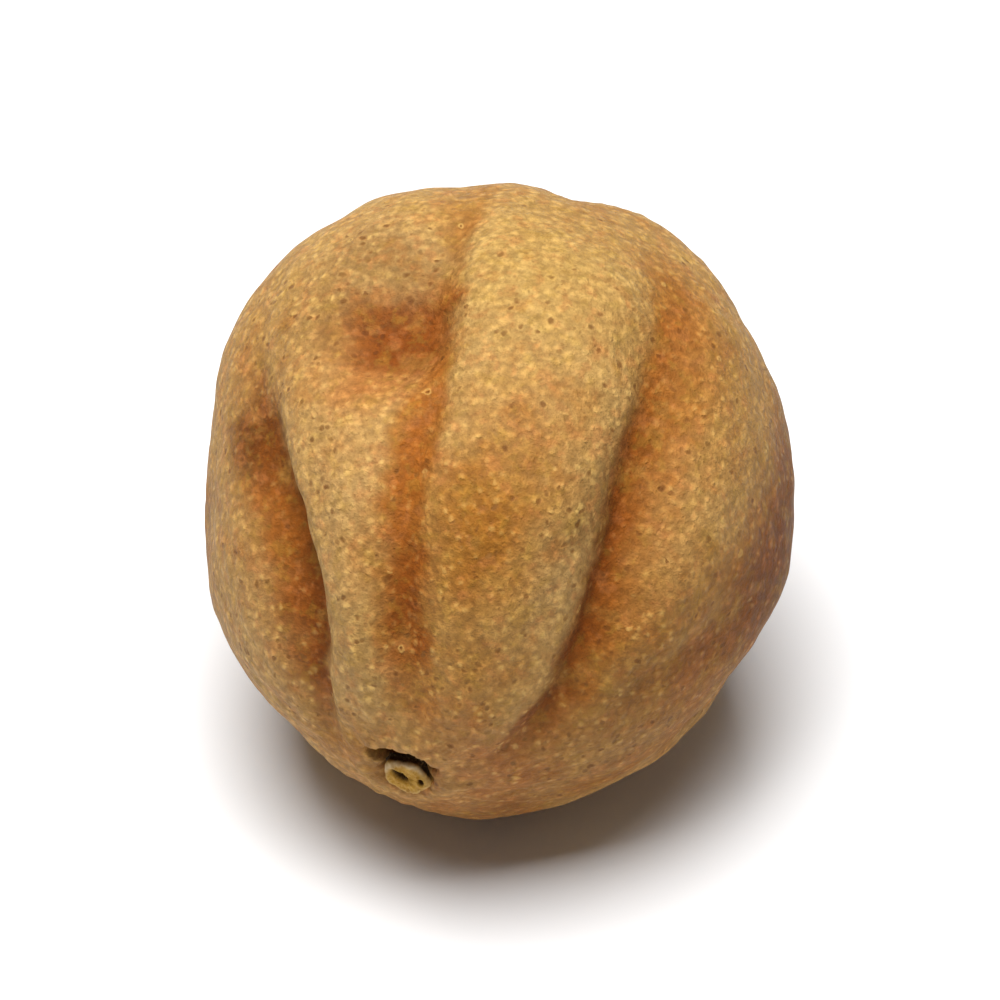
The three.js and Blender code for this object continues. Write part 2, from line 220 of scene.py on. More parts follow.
# ---------------------------------------------------------------- meshes
def ball(n):
    """Unit directions and quads of a sphere made from a cube with n by n squares on each side."""
    ids, quads = [], []
    for axis in range(3):
        for end in (0, n):
            a, b = np.meshgrid(np.arange(n + 1), np.arange(n + 1), indexing="ij")
            c = np.zeros((n + 1, n + 1, 3), np.int64)
            c[..., axis], c[..., (axis + 1) % 3], c[..., (axis + 2) % 3] = end, a, b
            key = (c[..., 0] * (n + 1) + c[..., 1]) * (n + 1) + c[..., 2]
            q = np.stack([key[:-1, :-1], key[1:, :-1], key[1:, 1:], key[:-1, 1:]], -1).reshape(-1, 4)
            quads.append(q if end else q[:, ::-1])
            ids.append(key.ravel())
    unique, inverse = np.unique(np.concatenate(ids), return_inverse=True)
    quads = np.searchsorted(unique, np.concatenate(quads))
    cell = np.stack([unique // (n + 1) ** 2, unique // (n + 1) % (n + 1), unique % (n + 1)], 1)
    p = np.tan((cell / n * 2 - 1) * math.pi / 4)
    return p / np.linalg.norm(p, axis=1, keepdims=True), quads


def vertex_normals(p, quads):
    n = np.cross(p[quads[:, 2]] - p[quads[:, 0]], p[quads[:, 3]] - p[quads[:, 1]])
    out = np.zeros_like(p)
    for c in range(4):
        np.add.at(out, quads[:, c], n)
    return out / np.linalg.norm(out, axis=1, keepdims=True)


def neighbour_mean(values, quads):
    """Mean of each vertex's neighbours along its quads' sides."""
    flat = values.reshape(len(values), -1)
    total = np.zeros_like(flat, dtype=float)
    count = np.zeros(len(values))
    for c in range(4):
        for other in (1, 3):
            np.add.at(total, quads[:, c], flat[quads[:, (c + other) % 4]])
            np.add.at(count, quads[:, c], 1)
    return (total / count[:, None]).reshape(values.shape)


def make_mesh(name, points_mm, faces, floats=(), colours=()):
    """A smooth mesh object in metres, with its named point attributes."""
    mesh = bpy.data.meshes.new(name)
    points = np.asarray(points_mm, np.float64) * MM
    sizes = np.array([len(f) for f in faces]) if not isinstance(faces, np.ndarray) else np.full(len(faces), faces.shape[1])
    loops = np.concatenate([np.asarray(f) for f in faces]) if not isinstance(faces, np.ndarray) else faces.ravel()
    mesh.vertices.add(len(points))
    mesh.vertices.foreach_set("co", points.astype(np.float32).ravel())
    mesh.loops.add(len(loops))
    mesh.loops.foreach_set("vertex_index", loops.astype(np.int32))
    mesh.polygons.add(len(sizes))
    mesh.polygons.foreach_set("loop_start", np.concatenate([[0], np.cumsum(sizes)[:-1]]).astype(np.int32))
    mesh.polygons.foreach_set("use_smooth", np.ones(len(sizes), bool))
    mesh.update(calc_edges=True)
    mesh.validate()
    for key, values in dict(floats).items():
        a = mesh.attributes.new(key, "FLOAT", "POINT")
        a.data.foreach_set("value", np.asarray(values, np.float32))
    for key, values in dict(colours).items():
        a = mesh.attributes.new(key, "FLOAT_COLOR", "POINT")
        rgba = np.concatenate([np.asarray(values, np.float32), np.ones((len(values), 1), np.float32)], 1)
        a.data.foreach_set("color", rgba.ravel())
    o = bpy.data.objects.new(name, mesh)
    bpy.context.scene.collection.objects.link(o)
    return o


# ---------------------------------------------------------------- rind: shape
GRID = 128
d, quads = ball(GRID)
# points drawn a little together around the stem hollow
phi_raw = np.arctan2(np.hypot(d[:, 0], d[:, 1]), d[:, 2])
phi_new = phi_raw * (1 - 0.35 * np.exp(-((phi_raw / 0.45) ** 2)))
side = np.hypot(d[:, 0], d[:, 1])
side = np.where(side < 1e-9, 1, side)
d = np.stack([d[:, 0] / side * np.sin(phi_new), d[:, 1] / side * np.sin(phi_new), np.cos(phi_new)], 1)
d /= np.linalg.norm(d, axis=1, keepdims=True)

phi, lam = angles(d)
base, depths, sides = fold_depths(d)
radius = rind_radius(d)
# the hollow round the button a little tighter and lower than in the solid, so that the skin closes round its foot, and
# the dry gap that has opened between the button and the lip of skin above it
local_mm = d * radius[:, None]
stem_x, stem_y = local_mm[:, 0], local_mm[:, 1]
stem_end = d[:, 2] > 0
stem_hollow = RECESS_DEPTH * np.exp(-((phi * RAD * HALF_WIDTH / RECESS_RADIUS) ** 4))
close_hollow = RECESS_DEPTH * np.exp(-((np.hypot(stem_x - 0.05, (stem_y + 0.30) * 1.05) / 1.52) ** 6)) * stem_end
gap_line = np.interp(stem_x, [-2.3, -1.2, 0.0, 1.0, 1.9], [1.55, 1.52, 1.52, 1.50, 1.22]) + 0.06 * noise(local_mm / 0.9)
gap_half = np.interp(stem_x, [-2.3, -1.8, -1.1, 0.8, 1.6, 2.1], [0.36, 0.52, 0.92, 1.00, 0.66, 0.25])
in_gap = stem_end * np.exp(-(np.abs((stem_y - gap_line) / gap_half) ** 6)) * step(stem_x, -2.6, -1.7) * step(stem_x, 2.3, 1.5)
radius += stem_hollow - np.maximum(close_hollow, 1.9 * in_gap)
p = d * radius[:, None]
normal = vertex_normals(p, quads)
if (normal * d).sum(1).mean() < 0:
    quads = quads[:, ::-1]
    normal = -normal

# lumps and wrinkles from drying, largest first
round_about = np.stack([np.cos(lam * RAD) * 15, np.sin(lam * RAD) * 15, phi * RAD * 2.2], 1)
fine_about = np.stack([np.cos(lam * RAD) * 19, np.sin(lam * RAD) * 19, phi * RAD * 3.0], 1)
patchy = 0.5 + 0.5 * noise(p / 6.0 + 40)
relief = 0.13 * noise(p / 4.6) + 0.075 * noise(p / 2.3 + 9) + 0.040 * noise(p / 1.2 + 21)
relief += 0.075 * patchy * noise(round_about) + 0.045 * (1 - patchy) * noise(fine_about + 5)
stem_side = np.exp(-((phi / 30) ** 2))
tip_side = np.exp(-(((180 - phi) / 22) ** 2))
spokes = np.stack([np.cos(lam * RAD) * 5.5, np.sin(lam * RAD) * 5.5, phi * RAD * 2.5], 1)
relief += 0.16 * stem_side * step(phi, 4, 11) * noise(spokes + 3) + 0.12 * tip_side * noise(spokes + 60)
# small dents
dents = _rng.normal(size=(60, 3))
dents /= np.linalg.norm(dents, axis=1, keepdims=True)
for q, (size, deep) in zip(dents, _rng.uniform([0.5, 0.03], [1.3, 0.14], size=(60, 2))):
    relief -= deep * np.exp(-((np.linalg.norm(d - q, axis=1) * HALF_WIDTH / size) ** 2))
# the lip of skin over the stem button and a low collar round the rest of it
lip = np.exp(-(((phi - 9.6) / 3.0) ** 2)) * np.exp(-((wrap(lam - 2) / 58) ** 4))
collar = np.exp(-(((phi - 8.2) / 2.4) ** 2)) * step(np.abs(wrap(lam - 2)), 66, 112)
relief *= 1 - 0.6 * np.exp(-((phi / 5.5) ** 2))
relief = relief * (1 - in_gap) + 0.16 * lip * (1 - in_gap) + 0.30 * collar * (1 - close_hollow / RECESS_DEPTH)
p = p + normal * relief[:, None]

# into the part's frame, pressed flat where it rests
world = p @ AXES + CENTRE
world[:, 2] = np.maximum(world[:, 2], 0.0)
normal = vertex_normals(world, quads)

# how hollow the skin is, at two sizes: above 0 in a hollow, below 0 on a crest
fine = ((neighbour_mean(world, quads) - world) * normal).sum(1)
fine -= np.median(fine)
for _ in range(2):
    fine = neighbour_mean(fine, quads)
wide = fine.copy()
for _ in range(14):
    wide = neighbour_mean(wide, quads)
fine = np.clip(fine / 0.004, -1, 1)
wide = np.clip(wide / 0.0022, -1, 1)

# ---------------------------------------------------------------- rind: colour by place
def srgb(r, g, b):
    c = np.array([r, g, b], float) / 255
    return np.where(c <= 0.04045, c / 12.92, ((c + 0.055) / 1.055) ** 2.4)


def blend(colour, weight, pigment):
    w = np.clip(weight, 0, 1)[:, None]
    return colour * (1 - w) + pigment[None] * w


TAN = srgb(184, 142, 81)
PALE = srgb(198, 160, 98)
GREY = srgb(186, 149, 95)
STRAW = srgb(192, 156, 88)
HONEY = srgb(168, 115, 47)
GOLD = srgb(154, 98, 29)
AMBER = srgb(159, 96, 29)
ORANGE = srgb(157, 89, 27)
RUST = srgb(132, 64, 9)
BROWN = srgb(121, 60, 10)
DARK = srgb(98, 48, 6)
OLIVE = srgb(139, 102, 49)
PINK = srgb(164, 101, 51)
PEACH = srgb(178, 117, 60)

local = d * base[:, None]
across = np.hypot(local[:, 0], local[:, 1])
# the paint's edges wander by about half a millimetre
wander_phi = 0.75 * noise(local / 2.6 + 110) + 0.38 * noise(local / 1.0 + 130)
wander_lam = 0.75 * noise(local / 2.6 + 150) + 0.38 * noise(local / 1.0 + 170)
paint_phi = phi + wander_phi / (RAD * base)
paint_lam = lam + wander_lam / (RAD * np.maximum(across, 3))

tint = np.repeat(TAN[None], len(d), 0)
ribs = depths.clip(0, None)
cavity = np.clip(ribs.sum(1) / 1.7, 0, 1)
for phi0, lam0, depth, left, right, far, near, sharp in HOLLOWS:
    if depth > 0.4:
        cavity = np.maximum(cavity, min(depth / 2.2, 1) * spot(phi, lam, base, phi0, lam0, left, right, far, near, sharp))

# general colouring from drying: golden and tan clouds, brown in the hollows, paler on the crests
cloud = 0.65 * noise(local / 5.5 + 70) + 0.35 * noise(local / 2.4 + 80)
front = np.exp(-((np.abs(wrap(lam - 5)) / 92) ** 6)) * step(phi, 8, 20)
tint = blend(tint, (0.75 - 0.45 * front) * step(cloud, -0.05, 0.6), GOLD)
tint = blend(tint, (0.5 - 0.2 * front) * step(-cloud, 0.0, 0.6), PALE)
tint = blend(tint, (0.45 - 0.15 * front) * step(noise(local / 3.8 + 90), 0.15, 0.7), AMBER)
tint = blend(tint, 0.4 * step(-wide, 0.15, 0.9), PALE)
tint = blend(tint, (0.75 - 0.5 * front) * step(cavity, 0.12, 0.75), RUST)
tint = blend(tint, (0.4 - 0.3 * front) * step(cavity, 0.6, 1.0) + 0.3 * step(wide, 0.4, 1.0), DARK)


def paint(pigment, strength, phi0, lam0, left, right, far, near, sharp=2.0):
    """A patch of colour with radii in mm, its edge wandering."""
    global tint
    w = spot(paint_phi, paint_lam, base, phi0, lam0, left, right, far, near, sharp)
    tint = blend(tint, strength * w, pigment)
    return w


def streak(pigment, strength, path, left, right, sharp=2.0):
    """A band of colour along a line of angle, longitude and weight, with widths in mm to its left and right."""
    global tint
    t = np.array(path, float)
    t = t[np.argsort(t[:, 0])]
    s = wrap(paint_lam - np.interp(paint_phi, t[:, 0], t[:, 1])) * RAD * across
    w = np.interp(paint_phi, t[:, 0], t[:, 2], left=0, right=0) * np.exp(-((np.abs(s) / np.where(s < 0, left, right)) ** sharp))
    tint = blend(tint, strength * w, pigment)
    return w


# crown and shoulders
paint(STRAW, 0.65, 112, 6, 8, 7, 7, 6)
paint(PALE, 0.45, 126, -48, 7, 6, 5, 5)
paint(TAN, 0.6, 100, -66, 6, 5, 6, 6)
paint(AMBER, 0.25, 92, -55, 1.4, 1.3, 4.5, 4.5)
paint(TAN, 0.6, 72, -21, 3.4, 3.0, 3.5, 4.0)
paint(GREY, 0.55, 54, -24, 1.5, 2.2, 6.5, 6.5)
paint(GREY, 0.45, 98, -34, 3.0, 2.5, 3.5, 3.5)
# broad lobe
paint(AMBER, 0.35, 79, 13, 3.2, 3.4, 2.6, 3.0)
paint(GOLD, 0.95, 58, 12, 4.0, 4.2, 5.6, 6.6, 3.0)
paint(HONEY, 0.55, 32, 26, 3.6, 3.6, 3.2, 3.4)
paint(GREY, 0.50, 52, 33, 1.5, 1.7, 8.5, 5.5)
# beyond the right fold
paint(HONEY, 0.55, 108, 46, 3.2, 4.0, 5.0, 5.5)
paint(TAN, 0.55, 84, 52, 2.4, 3.2, 5.0, 5.5)
# painted shade: the right flank near the middle, painted deep brown for shade from the side
paint(BROWN, 0.9, 88, 81, 3.8, 6.5, 9.0, 9.0, 2.6)
paint(HONEY, 0.6, 60, 66, 3.2, 4.0, 4.2, 4.2)
paint(BROWN, 0.22, 58, 62, 3.0, 3.2, 4.0, 4.0)
paint(PINK, 0.55, 60, 84, 2.6, 4.0, 3.0, 3.0)
# painted shade: more dark brown on the same right flank
paint(DARK, 0.45, 88, 86, 3.0, 6.0, 8.0, 7.0, 2.6)
paint(OLIVE, 0.55, 42, 64, 3.0, 3.6, 4.6, 3.4)
paint(OLIVE, 0.70, 68, 31.5, 1.3, 1.5, 4.5, 4.5)
paint(BROWN, 0.45, 42, 100, 4.5, 5.0, 5.0, 4.5)
# left side
paint(TAN, 0.5, 62, -62, 3.2, 3.0, 6.0, 6.0)
paint(GREY, 0.55, 34, -72, 4.0, 3.4, 4.5, 4.5)
paint(GREY, 0.5, 22, -30, 2.6, 2.4, 2.4, 2.0)
paint(GREY, 0.5, 25, -122, 4.5, 4.5, 3.5, 3.5)
# around the stem
paint(PINK, 0.75, 19, 76, 5.5, 5.5, 2.4, 3.2)
paint(PINK, 0.45, 13, 150, 4.0, 4.0, 2.4, 3.0)
paint(BROWN, 0.65, 24, 150, 6.0, 5.5, 3.5, 3.0)
paint(AMBER, 0.55, 11, -60, 2.6, 2.2, 1.6, 1.6)

# folds: brown to the left of the upper left one, orange and rust in the middle one, rust to the right of the long one
streak(RUST, 0.95, [(18, -45, 0.2), (24, -42.5, 0.7), (35, -36.4, 1), (48, -36.8, 1), (60, -40.6, 1), (72, -44.2, 0.9), (84, -48.5, 0.35), (94, -53, 0)], 3.2, 0.55, 2.2)
streak(BROWN, 0.85, [(17, -47, 0.3), (24, -40.5, 0.9), (35, -35.0, 1), (48, -35.9, 0.9), (60, -39.1, 1), (70, -43.2, 1), (80, -46.6, 0.5), (88, -50, 0)], 1.7, 0.45, 2.6)
streak(DARK, 0.60, [(18, -47, 0.4), (30, -36, 0.8), (48, -35.5, 0.8), (60, -38.3, 0.9), (70, -42.2, 0.8), (80, -46, 0)], 0.9, 0.35)
dark_blotch = paint(DARK, 0.95, 74, -50, 2.9, 2.2, 2.4, 3.0, 3.0)
streak(AMBER, 0.95, [(98, -9, 0), (91, -7.5, 0.8), (82, -8, 1), (74, -8, 1), (66, -7.2, 1), (52, -5, 1), (40, -3, 1), (28, 1, 0.7), (20, 5, 0)], 1.35, 1.35, 2.6)
streak(ORANGE, 0.9, [(92, -7, 0), (86, -6.5, 0.8), (74, -7.3, 1), (60, -6.2, 1), (48, -4.5, 0.8), (38, -2.5, 0.4), (28, 1, 0)], 1.25, 1.0, 2.6)
streak(RUST, 0.95, [(56, -5, 0), (50, -4.6, 0.6), (42, -3.2, 1), (34, -0.6, 1), (26, 3, 0.5), (21, 6, 0)], 1.0, 1.15)
streak(AMBER, 0.85, [(138, 31.5, 0), (126, 32.5, 0.6), (112, 35, 1), (96, 37.5, 1), (80, 38.5, 1), (66, 41.4, 1), (54, 46.6, 1), (42, 53, 0.8), (32, 59, 0.4), (24, 65, 0)], 1.1, 3.4, 2.4)
streak(RUST, 0.95, [(104, 35.5, 0), (96, 36.5, 0.35), (84, 37, 0.8), (72, 38.4, 1), (60, 42, 1), (48, 47.5, 1), (38, 53, 0.9), (28, 59, 0.7), (20, 64, 0)], 0.7, 1.9)
streak(RUST, 0.55, [(132, 33.2, 0), (122, 34.2, 0.7), (108, 36.4, 1), (96, 37.4, 0.6), (88, 38, 0)], 0.5, 1.3)
streak(DARK, 0.50, [(96, 35.5, 0), (80, 36.2, 0.6), (66, 38.5, 1), (54, 43.0, 1), (42, 49.2, 1), (33, 54.5, 1), (25, 60, 0.7), (19, 65, 0)], 0.45, 0.6)
streak(BROWN, 0.35, [(100, 82, 0), (76, 82, 0.6), (56, 77, 1), (36, 78, 0.6), (24, 84, 0)], 1.0, 1.2)

# the big hollow and the streak that runs up from its right edge
paint(PEACH, 0.95, 83.5, -19.5, 3.4, 2.4, 1.8, 2.4, 3.0)
hollow_paint = paint(RUST, 0.95, 95, -18, 5.0, 3.2, 4.6, 3.0, 5.0)
paint(BROWN, 0.45, 99, -15, 3.6, 2.2, 2.4, 1.8)
streak(RUST, 0.75, [(98, -9.5, 0.5), (104, -10.5, 1), (110, -12.8, 0.7), (115, -14.5, 0)], 1.2, 0.7)
streak(AMBER, 0.8, [(104, -10.5, 0.6), (112, -13.0, 1), (120, -15.2, 1), (130, -17.6, 0.75), (142, -21.0, 0.5), (152, -22, 0)], 0.95, 0.65)
paint(GREY, 0.9, 111.5, -25.5, 4.8, 3.6, 3.2, 2.0, 3.0)
olive_paint = paint(OLIVE, 0.65, 110.5, -24, 4.4, 3.2, 2.8, 1.6, 2.6)
olive_paint = np.maximum(olive_paint, 0.8 * paint(OLIVE, 0.35, 100, -37, 3.2, 2.6, 3.2, 3.2))

paint(AMBER, 0.45, 55, -42.5, 1.6, 1.3, 4.0, 4.0)
paint(OLIVE, 0.28, 31, -15, 2.0, 2.0, 3.0, 3.0)
paint(PEACH, 0.35, 114, 42, 2.2, 2.2, 3.5, 3.5)

# how many glands have dried to dark pores, and how waxy and pale the others are
pores = 0.42 + 0.22 * noise(local / 4.0 + 210) + 0.75 * olive_paint + 0.35 * dark_blotch - 0.25 * front * step(phi, 100, 125)
pores += 0.34 * np.exp(-(((phi - 28) / 15) ** 2)) + 0.25 * spot(phi, lam, base, 40, 64, 3, 4, 4, 3, 2.0) - 0.4 * stem_side * step(stem_y, 0.0, -1.5)
waxy = 0.6 + 0.4 * np.exp(-(((phi - 26) / 14) ** 2)) * step(stem_y, -1.5, 0.5) + 0.25 * step(-wide, 0.0, 0.8) - 0.35 * cavity - 0.30 * hollow_paint + 0.25 * noise(local / 3.4 + 95) + 0.45 * olive_paint
stem_gap = np.exp(-(((phi - 5.6) / 2.2) ** 2))
tint = blend(tint, 0.30 * stem_gap, BROWN)
# painted shade: the gap between the button and the lip of skin above it, painted near-black
tint = blend(tint, 0.97 * step(in_gap, 0.25, 0.7), srgb(24, 11, 4))

FLOATS = {"cavity": cavity, "pores": np.clip(pores, 0, 1), "waxy": np.clip(waxy, 0, 1)}
rind = make_mesh("rind_skin", world, quads, FLOATS, {"tint": tint})
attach(rind, "root")
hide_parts("fruit_rind")


# ---------------------------------------------------------------- stem button: shape
def woody_button():
    turns, rings = 144, 74
    # radius and height along a section, from the foot outwards, over the collar and the rim to the middle of the face
    section = np.array([
        [0.0, -0.05], [0.55, -0.05], [0.95, 0.0], [1.12, 0.14], [1.20, 0.32], [1.42, 0.40], [1.50, 0.47], [1.46, 0.55], [1.36, 0.62],
        [1.34, 0.78], [1.39, 0.98], [1.37, 1.12], [1.26, 1.25], [1.08, 1.30], [0.86, 1.27], [0.60, 1.23], [0.30, 1.22], [0.0, 1.22]])
    length = np.concatenate([[0], np.cumsum(np.hypot(*np.diff(section, axis=0).T))])
    t = np.linspace(0, length[-1], rings)
    rr, hh = np.interp(t, length, section[:, 0]), np.interp(t, length, section[:, 1])
    for _ in range(2):
        rr[1:-1] = (rr[:-2] + 2 * rr[1:-1] + rr[2:]) / 4
        hh[1:-1] = (hh[:-2] + 2 * hh[1:-1] + hh[2:]) / 4
    turn = np.arange(turns) / turns * 2 * math.pi
    R, A = np.meshgrid(rr[1:-1], turn, indexing="ij")
    H = np.repeat(hh[1:-1][:, None], turns, 1)
    along_face = np.repeat((t[1:-1] / length[-1])[:, None], turns, 1)
    star = 1 + 0.055 * np.cos(5 * A + 0.6) + 0.035 * np.cos(2 * A + 2.1) + 0.02 * np.cos(3 * A + 5)
    collar = np.exp(-(((H - 0.48) / 0.13) ** 2)) * (R > 1.25)
    star = star + collar * (0.03 * np.cos(5 * A - 0.3) + 0.02 * np.cos(11 * A + 1.2))
    X, Y = R * star * np.cos(A), R * star * np.sin(A)
    q = np.stack([X, Y, H], -1).reshape(-1, 3)
    out = np.stack([np.cos(A), np.sin(A), np.zeros_like(A)], -1).reshape(-1, 3)
    fibre = noise(np.stack([np.cos(A) * 7, np.sin(A) * 7, along_face * 3.0], -1).reshape(-1, 3) + 11)
    lumps = noise(q / 0.42 + 7)
    face = (step(H, 1.0, 1.25)).reshape(-1)
    q += out * (0.045 * fibre + 0.05 * lumps)[:, None] * (1 - 0.5 * face)[:, None]
    q[:, 2] += face * (0.05 * fibre + 0.075 * lumps)
    # the scar's long pit, and a small one beside it
    pit = np.zeros(len(q))
    for x0, y0, long, wide_, turn_deg, deep in ((-0.36, 0.12, 0.56, 0.26, -48, 0.70), (0.88, 0.02, 0.15, 0.28, 8, 0.50)):
        c, s = math.cos(turn_deg * RAD), math.sin(turn_deg * RAD)
        u, v = q[:, 0] - x0, q[:, 1] - y0
        a, b = (u * c + v * s) / long, (-u * s + v * c) / wide_
        rr2 = a * a + b * b
        q[:, 2] -= face * deep * np.exp(-(rr2**1.4))
        pit = np.maximum(pit, face * min(deep * 2, 1) * np.exp(-((rr2 / 1.2) ** 1.6)))
        q[:, 2] += face * 0.09 * np.exp(-(((np.sqrt(rr2) - 1.45) / 0.4) ** 2))
    foot, top = np.array([[0, 0, hh[0]]]), np.array([[0, 0, float(q[-turns:, 2].mean())]])
    points = np.concatenate([q, foot, top])
    n = rings - 2
    faces = []
    for i in range(n - 1):
        for j in range(turns):
            k = (j + 1) % turns
            faces.append((i * turns + j, i * turns + k, (i + 1) * turns + k, (i + 1) * turns + j))
    for j in range(turns):
        k = (j + 1) % turns
        faces.append((n * turns, k, j))
        faces.append((n * turns + 1, (n - 1) * turns + j, (n - 1) * turns + k))
    height = points[:, 2].copy()
    # the rim is pale all round, and paler on its upper side, where a painted highlight stands for the light from above
    rim = np.exp(-(((np.hypot(points[:, 0], points[:, 1]) - 1.32) / 0.20) ** 2)) * step(height, 0.75, 1.1) * (0.25 + 0.75 * step(points[:, 1] - 0.35 * points[:, 0], 0.1, 1.0))
    # painted shade: the upper side wall of the button, down in the gap under the lip of skin, is marked to be painted
    # near-black
    gap_shade = step(height, 1.12, 0.9) * step(points[:, 1], -0.3, 0.5)
    return points, faces, np.concatenate([pit, [0, 0]]), height, rim, gap_shade


stem_floor = float(rind_radius(np.array([[0.0, 0.0, 1.0]]))[0])
points, faces, pit, height, rim, gap_shade = woody_button()
lean = 14 * RAD
points[:, 2] -= 0.7
points = points @ np.array([[1, 0, 0], [0, math.cos(lean), -math.sin(lean)], [0, math.sin(lean), math.cos(lean)]])
points = points * np.array([1.05, 0.90, 0.97]) + np.array([0.12, -0.30, stem_floor + 0.26 + 0.7])
points = points @ AXES + CENTRE
button = make_mesh("woody_button", points, faces, {"pit": pit, "height": height, "rim": rim, "gap_shade": gap_shade})
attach(button, "root")
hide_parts("stem_button")


# ---------------------------------------------------------------- materials
class Graph:
    """Short names for building a material's nodes."""

    def __init__(self, name):
        self.material = bpy.data.materials.new(name)
        self.material.use_nodes = True
        self.nodes = self.material.node_tree.nodes
        self.links = self.material.node_tree.links
        self.nodes.clear()
        self.out = self.nodes.new("ShaderNodeOutputMaterial")
        self.shader = self.nodes.new("ShaderNodeBsdfPrincipled")
        self.links.new(self.shader.outputs[0], self.out.inputs[0])

    def put(self, value, socket):
        if isinstance(value, bpy.types.NodeSocket):
            self.links.new(value, socket)
        elif value is not None:
            if hasattr(socket.default_value, "__len__"):
                value = list(value)
                if len(socket.default_value) == 4 and len(value) == 3:
                    value = value + [1.0]
                socket.default_value = value
            else:
                socket.default_value = float(value)

    def math(self, op, a, b=None, c=None, clamp=False):
        n = self.nodes.new("ShaderNodeMath")
        n.operation, n.use_clamp = op, clamp
        for v, s in zip((a, b, c), n.inputs):
            self.put(v, s)
        return n.outputs[0]

    def add(self, a, b): return self.math("ADD", a, b)
    def sub(self, a, b): return self.math("SUBTRACT", a, b)
    def mul(self, a, b): return self.math("MULTIPLY", a, b)

    def vector(self, op, a, b=None, scale=None):
        n = self.nodes.new("ShaderNodeVectorMath")
        n.operation = op
        self.put(a, n.inputs[0])
        if b is not None:
            self.put(b, n.inputs[1])
        if scale is not None:
            n.inputs["Scale"].default_value = scale
        return n.outputs[0]

    def smooth(self, value, lo, hi, to_lo=0.0, to_hi=1.0):
        n = self.nodes.new("ShaderNodeMapRange")
        n.interpolation_type = "SMOOTHSTEP"
        for v, s in zip((value, lo, hi, to_lo, to_hi), n.inputs):
            self.put(v, s)
        return n.outputs[0]

    def mix(self, factor, a, b, kind="MIX"):
        n = self.nodes.new("ShaderNodeMix")
        n.data_type, n.blend_type, n.clamp_factor = "RGBA", kind, True
        self.put(factor, n.inputs[0])
        self.put(a, n.inputs[6])
        self.put(b, n.inputs[7])
        return n.outputs[2]

    def attribute(self, name, colour=False):
        n = self.nodes.new("ShaderNodeAttribute")
        n.attribute_name = name
        return n.outputs["Color"] if colour else n.outputs["Fac"]

    def place(self):
        """Position on the object, in millimetres."""
        n = self.nodes.new("ShaderNodeTexCoord")
        return self.vector("SCALE", n.outputs["Object"], scale=1000.0)

    def noise(self, place, scale, detail=2.0, rough=0.5, shift=0.0):
        n = self.nodes.new("ShaderNodeTexNoise")
        n.noise_dimensions = "3D"
        if shift:
            place = self.vector("ADD", place, (shift, -shift, shift * 0.5))
        self.put(place, n.inputs["Vector"])
        n.inputs["Scale"].default_value = scale
        n.inputs["Detail"].default_value = detail
        n.inputs["Roughness"].default_value = rough
        return n.outputs["Fac"], n.outputs["Color"]

    def cells(self, place, scale, randomness=1.0, feature="F1"):
        n = self.nodes.new("ShaderNodeTexVoronoi")
        n.voronoi_dimensions, n.feature = "3D", feature
        self.put(place, n.inputs["Vector"])
        n.inputs["Scale"].default_value = scale
        n.inputs["Randomness"].default_value = randomness
        return n.outputs["Distance"], n.outputs["Color"]

    def split(self, colour):
        n = self.nodes.new("ShaderNodeSeparateColor")
        self.put(colour, n.inputs[0])
        return n.outputs[0], n.outputs[1], n.outputs[2]

    def bump(self, height, millimetres, normal=None):
        n = self.nodes.new("ShaderNodeBump")
        n.inputs["Strength"].default_value = 1.0
        n.inputs["Distance"].default_value = millimetres * MM
        self.put(height, n.inputs["Height"])
        if normal is not None:
            self.put(normal, n.inputs["Normal"])
        return n.outputs[0]


